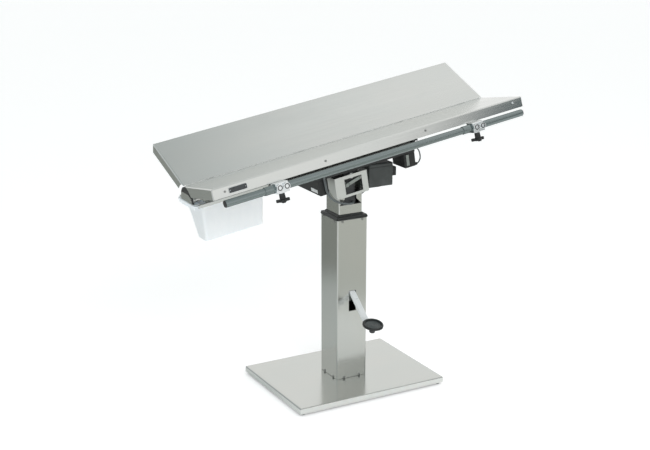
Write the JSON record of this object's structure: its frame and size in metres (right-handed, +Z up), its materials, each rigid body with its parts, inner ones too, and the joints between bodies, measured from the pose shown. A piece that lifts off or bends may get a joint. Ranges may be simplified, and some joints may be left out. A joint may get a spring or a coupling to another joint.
{
  "type": "v-top operating table",
  "caption": "V-top stainless operating table on a pedal-pumped hydraulic column, with a tilting head, accessory rail and drain bucket.",
  "frame": {"origin": "on the floor, under the axis of the square column", "axes": "+X along the table towards its raised end, +Y away from the pedal and the accessory rail, +Z up"},
  "size_m": [1.2772, 0.5593, 1.1529],
  "materials": {
    "steel": "brushed",
    "bright": "polished",
    "rail_steel": "satin",
    "cast": "painted",
    "fastener": "satin",
    "black_paint": "painted",
    "black_plastic": "matt",
    "grey_plastic": "matt",
    "rubber": "matt",
    "cable": "matt",
    "bronze": "satin",
    "white_plastic": "satin"
  },
  "bodies": {
    "base": {"base_cover": "steel", "base_weight": "cast", "levelling_feet": "black_plastic", "outer_column": "steel", "column_foot_frame": "cast", "column_screws": "fastener", "column_collar": "black_plastic", "hydraulic_cylinder": "cast", "pump_block": "cast", "pedal_pin": "bright"},
    "pedal": {"pedal_arm": "bright", "pedal_pad": "rubber", "pad_nut": "cast"},
    "lift": {"inner_column": "steel", "lower_guides": "white_plastic", "hydraulic_ram": "bright", "pivot_bracket": "cast", "pivot_bushes": "bronze", "link_stud": "bright", "box_bracket": "cast", "control_box": "grey_plastic", "control_box_latch": "black_plastic"},
    "head": {"tilt_shaft": "bright", "shaft_collars": "cast", "tilt_lugs": "black_paint", "head_cover": "steel", "link_pin": "cast", "saddle_beam": "black_paint", "actuator_housing": "black_plastic", "junction_box": "black_plastic", "junction_strip": "bright", "valley_spine": "steel", "valley_seals": "black_plastic", "hinge_lugs": "steel", "hinge_rod": "bright", "lock_studs": "bright", "bucket_runners": "steel", "head_cable": "cable", "loop_cable": "cable", "cable_glands": "black_plastic"},
    "link": {"tilt_link": "bright"},
    "rear_top": {"rear_wing": "steel", "rear_hinges": "steel", "rear_quadrant": "cast"},
    "front_top": {"front_wing": "steel", "front_hinges": "steel", "front_quadrant": "cast", "front_screws": "fastener", "name_plate": "fastener", "left_rail_holder": "bright", "right_rail_holder": "bright", "holder_bosses": "fastener"},
    "rail": {"accessory_rail": "rail_steel", "rail_caps": "black_plastic"},
    "left_clamp": {"left_knob": "black_plastic"},
    "right_clamp": {"right_knob": "black_plastic"},
    "rear_lock": {"rear_lever": "black_plastic"},
    "front_lock": {"front_lever": "black_plastic"},
    "bucket": {"drain_bucket": "white_plastic"}
  },
  "joints": [
    {"name": "column_lift", "type": "slide", "parent": "base", "child": "lift", "axis": [0, 0, 1], "range_m": [-0.025, 0.22]},
    {"name": "pedal_press", "type": "hinge", "parent": "base", "child": "pedal", "pos_m": [0.002, -0.041, 0.387], "axis": [1, 0, 0], "range_deg": [0, 20], "stiffness_Nm_per_rad": 14, "springref_deg": -8.59},
    {"name": "table_tilt", "type": "hinge", "parent": "lift", "child": "head", "pos_m": [0, 0, 0.822], "axis": [0, -1, 0], "range_deg": [-9, 6], "deforming": ["head_cable"]},
    {"name": "tilt_link_turn", "type": "hinge", "parent": "head", "child": "link", "pos_m": [0.03988, 0, 0.81313], "axis": [0, -1, 0], "range_deg": [-3, 4.5], "stiffness_Nm_per_rad": 0.02, "springref_deg": -30.37},
    {"name": "rear_wing_fold", "type": "hinge", "parent": "head", "child": "rear_top", "pos_m": [-0.01246, 0, 0.93899], "axis": [0.9877, 0, 0.1564], "range_deg": [-25, 7]},
    {"name": "front_wing_fold", "type": "hinge", "parent": "head", "child": "front_top", "pos_m": [-0.01246, 0, 0.93899], "axis": [-0.9877, 0, -0.1564], "range_deg": [-10.5, 21.5]},
    {"name": "rail_slide", "type": "slide", "parent": "front_top", "child": "rail", "axis": [0.9877, 0, 0.1564], "range_m": [-0.05, 0.05]},
    {"name": "left_knob_turn", "type": "hinge", "parent": "front_top", "child": "left_clamp", "pos_m": [-0.39949, -0.28483, 0.83847], "axis": [-0.1538, 0.1822, 0.9711], "continuous": true},
    {"name": "right_knob_turn", "type": "hinge", "parent": "front_top", "child": "right_clamp", "pos_m": [0.39461, -0.28483, 0.96424], "axis": [-0.1538, 0.1822, 0.9711], "continuous": true},
    {"name": "rear_lever_turn", "type": "hinge", "parent": "head", "child": "rear_lock", "pos_m": [0.2539, 0.07277, 0.91935], "axis": [0.9877, 0, 0.1564], "range_deg": [0, 60]},
    {"name": "front_lever_turn", "type": "hinge", "parent": "head", "child": "front_lock", "pos_m": [0.2539, -0.07277, 0.91935], "axis": [-0.9877, 0, -0.1564], "range_deg": [0, 60]},
    {"name": "bucket_slide", "type": "slide", "parent": "head", "child": "bucket", "axis": [-0.9877, 0, -0.1564], "range_m": [0, 0.23]}
  ],
  "couplings": [
    {"joint": "tilt_link_turn", "follows": "table_tilt", "ratio": -0.48}
  ]
}
